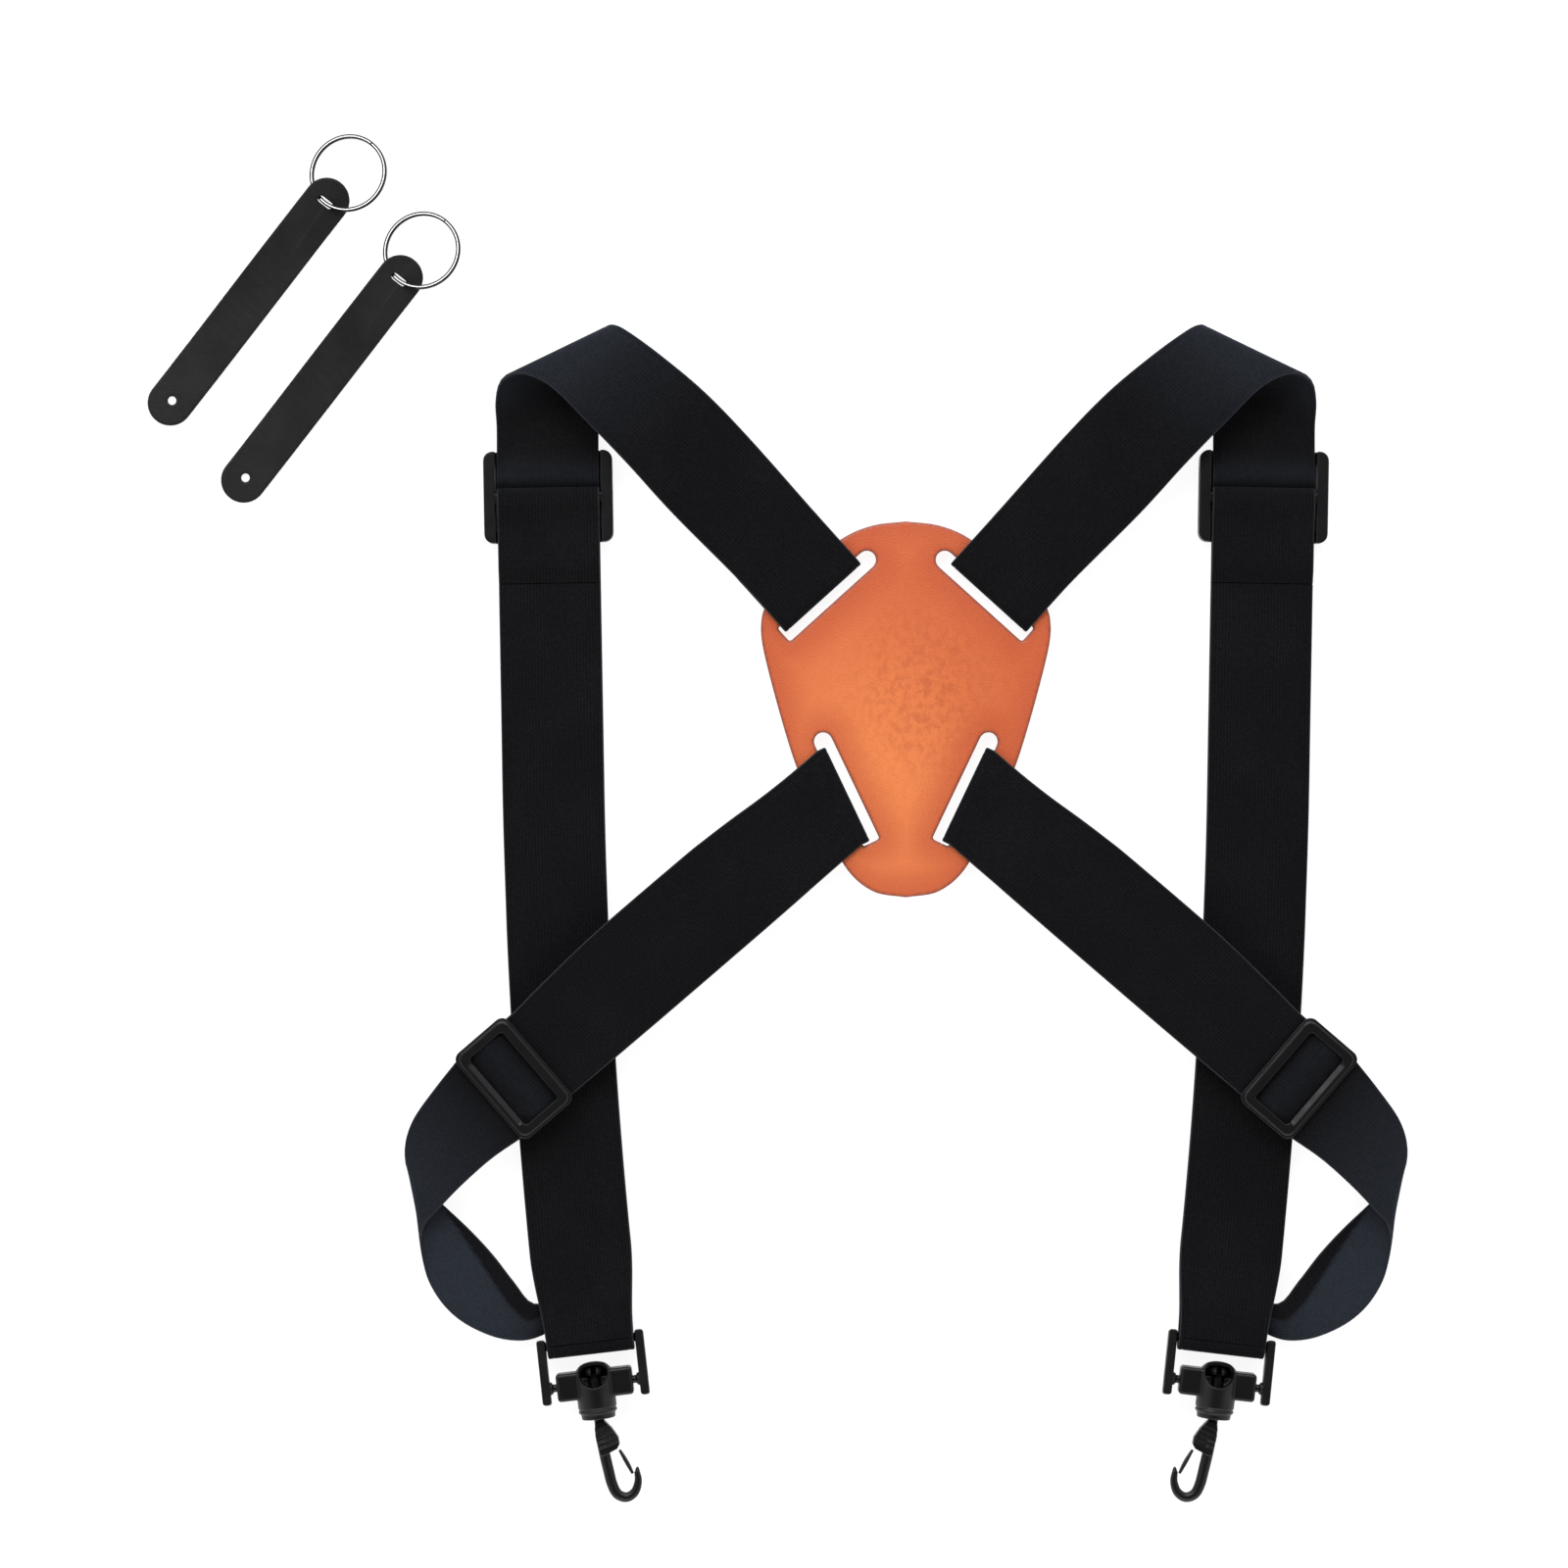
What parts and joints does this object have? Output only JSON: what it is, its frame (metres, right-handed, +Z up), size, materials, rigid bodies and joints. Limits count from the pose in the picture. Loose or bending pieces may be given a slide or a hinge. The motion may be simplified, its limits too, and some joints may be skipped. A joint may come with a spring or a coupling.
{
  "type": "saxophone neck strap",
  "caption": "Two-shoulder instrument harness: leather back yoke, adjustable webbing, swivel snap hooks, and loose leather tabs on split rings.",
  "frame": {"origin": "bottom centre of the whole object's box, on the surface it lies on", "axes": "+X to the right as seen from above, +Y towards the shoulder folds, +Z up from the surface"},
  "size_m": [0.4686, 0.509, 0.0174],
  "materials": {
    "webbing": "fine woven elastic webbing",
    "yoke_leather": "orange-tan leather, darker burnished edge",
    "hardware": "black moulded plastic",
    "tab_leather": "charcoal leather",
    "ring_steel": "bright steel wire"
  },
  "bodies": {
    "harness": {"yoke": "yoke_leather", "right_shoulder_strap": "webbing", "right_front_return_ply": "webbing", "right_side_strap": "webbing", "right_side_return_ply": "webbing", "left_shoulder_strap": "webbing", "left_front_return_ply": "webbing", "left_side_strap": "webbing", "left_side_return_ply": "webbing"},
    "right_upper_slide": {"right_upper_slider": "hardware", "right_upper_slider_sewn_end": "webbing"},
    "right_lower_slide": {"right_lower_slider": "hardware", "right_lower_slider_sewn_end": "webbing"},
    "right_hook_frame": {"right_hook_frame": "hardware"},
    "right_swivel_body": {"right_swivel_body": "hardware"},
    "right_snap_hook": {"right_snap_hook": "hardware"},
    "right_hook_gate": {"right_hook_gate": "hardware"},
    "left_upper_slide": {"left_upper_slider": "hardware", "left_upper_slider_sewn_end": "webbing"},
    "left_lower_slide": {"left_lower_slider": "hardware", "left_lower_slider_sewn_end": "webbing"},
    "left_hook_frame": {"left_hook_frame": "hardware"},
    "left_swivel_body": {"left_swivel_body": "hardware"},
    "left_snap_hook": {"left_snap_hook": "hardware"},
    "left_hook_gate": {"left_hook_gate": "hardware"},
    "tab_1": {"tab_1": "tab_leather"},
    "split_ring_1": {"split_ring_1": "ring_steel"},
    "tab_2": {"tab_2": "tab_leather"},
    "split_ring_2": {"split_ring_2": "ring_steel"}
  },
  "joints": [
    {"name": "right_upper_slide", "type": "slide", "parent": "harness", "child": "right_upper_slide", "axis": [-0.0175, -0.9998, 0], "range_m": [0, 0.125], "deforming": ["right_front_return_ply"]},
    {"name": "right_lower_slide", "type": "slide", "parent": "harness", "child": "right_lower_slide", "axis": [-0.7581, 0.6521, 0], "range_m": [0, 0.07], "deforming": ["right_side_return_ply"]},
    {"name": "right_frame_hinge", "type": "hinge", "parent": "harness", "child": "right_hook_frame", "pos_m": [0.16618, -0.19559, 0.0053], "axis": [0.9932, -0.116, 0], "range_deg": [-80, 80]},
    {"name": "right_body_hinge", "type": "hinge", "parent": "right_hook_frame", "child": "right_swivel_body", "pos_m": [0.16441, -0.21082, 0.0076], "axis": [0.9932, -0.116, 0], "range_deg": [-90, 90]},
    {"name": "right_hook_swivel", "type": "hinge", "parent": "right_swivel_body", "child": "right_snap_hook", "pos_m": [0.16441, -0.21082, 0.0076], "axis": [0.116, 0.9932, 0], "continuous": true},
    {"name": "right_gate_hinge", "type": "hinge", "parent": "right_snap_hook", "child": "right_hook_gate", "pos_m": [0.15519, -0.23553, 0.0076], "axis": [0, 0, 1], "range_deg": [0, 20], "stiffness_Nm_per_rad": 0.1, "springref_deg": -5.73},
    {"name": "left_upper_slide", "type": "slide", "parent": "harness", "child": "left_upper_slide", "axis": [0.0175, -0.9998, 0], "range_m": [0, 0.125], "deforming": ["left_front_return_ply"]},
    {"name": "left_lower_slide", "type": "slide", "parent": "harness", "child": "left_lower_slide", "axis": [0.7581, 0.6521, 0], "range_m": [0, 0.07], "deforming": ["left_side_return_ply"]},
    {"name": "left_frame_hinge", "type": "hinge", "parent": "harness", "child": "left_hook_frame", "pos_m": [-0.06888, -0.19559, 0.0053], "axis": [0.9932, 0.116, 0], "range_deg": [-80, 80]},
    {"name": "left_body_hinge", "type": "hinge", "parent": "left_hook_frame", "child": "left_swivel_body", "pos_m": [-0.06711, -0.21082, 0.0076], "axis": [0.9932, 0.116, 0], "range_deg": [-90, 90]},
    {"name": "left_hook_swivel", "type": "hinge", "parent": "left_swivel_body", "child": "left_snap_hook", "pos_m": [-0.06711, -0.21082, 0.0076], "axis": [-0.116, 0.9932, 0], "continuous": true},
    {"name": "left_gate_hinge", "type": "hinge", "parent": "left_snap_hook", "child": "left_hook_gate", "pos_m": [-0.05789, -0.23553, 0.0076], "axis": [0, 0, -1], "range_deg": [0, 20], "stiffness_Nm_per_rad": 0.1, "springref_deg": -5.73},
    {"name": "tab_1_lift", "type": "slide", "parent": "harness", "child": "tab_1", "axis": [0, 0, 1], "range_m": [0, 0.1]},
    {"name": "ring_1_hinge", "type": "hinge", "parent": "tab_1", "child": "split_ring_1", "pos_m": [-0.16777, 0.22875, 0.0043], "axis": [-0.6157, -0.788, 0], "range_deg": [0, 120]},
    {"name": "tab_2_lift", "type": "slide", "parent": "harness", "child": "tab_2", "axis": [0, 0, 1], "range_m": [0, 0.1]},
    {"name": "ring_2_hinge", "type": "hinge", "parent": "tab_2", "child": "split_ring_2", "pos_m": [-0.14037, 0.19995, 0.0043], "axis": [-0.6157, -0.788, 0], "range_deg": [0, 120]}
  ]
}
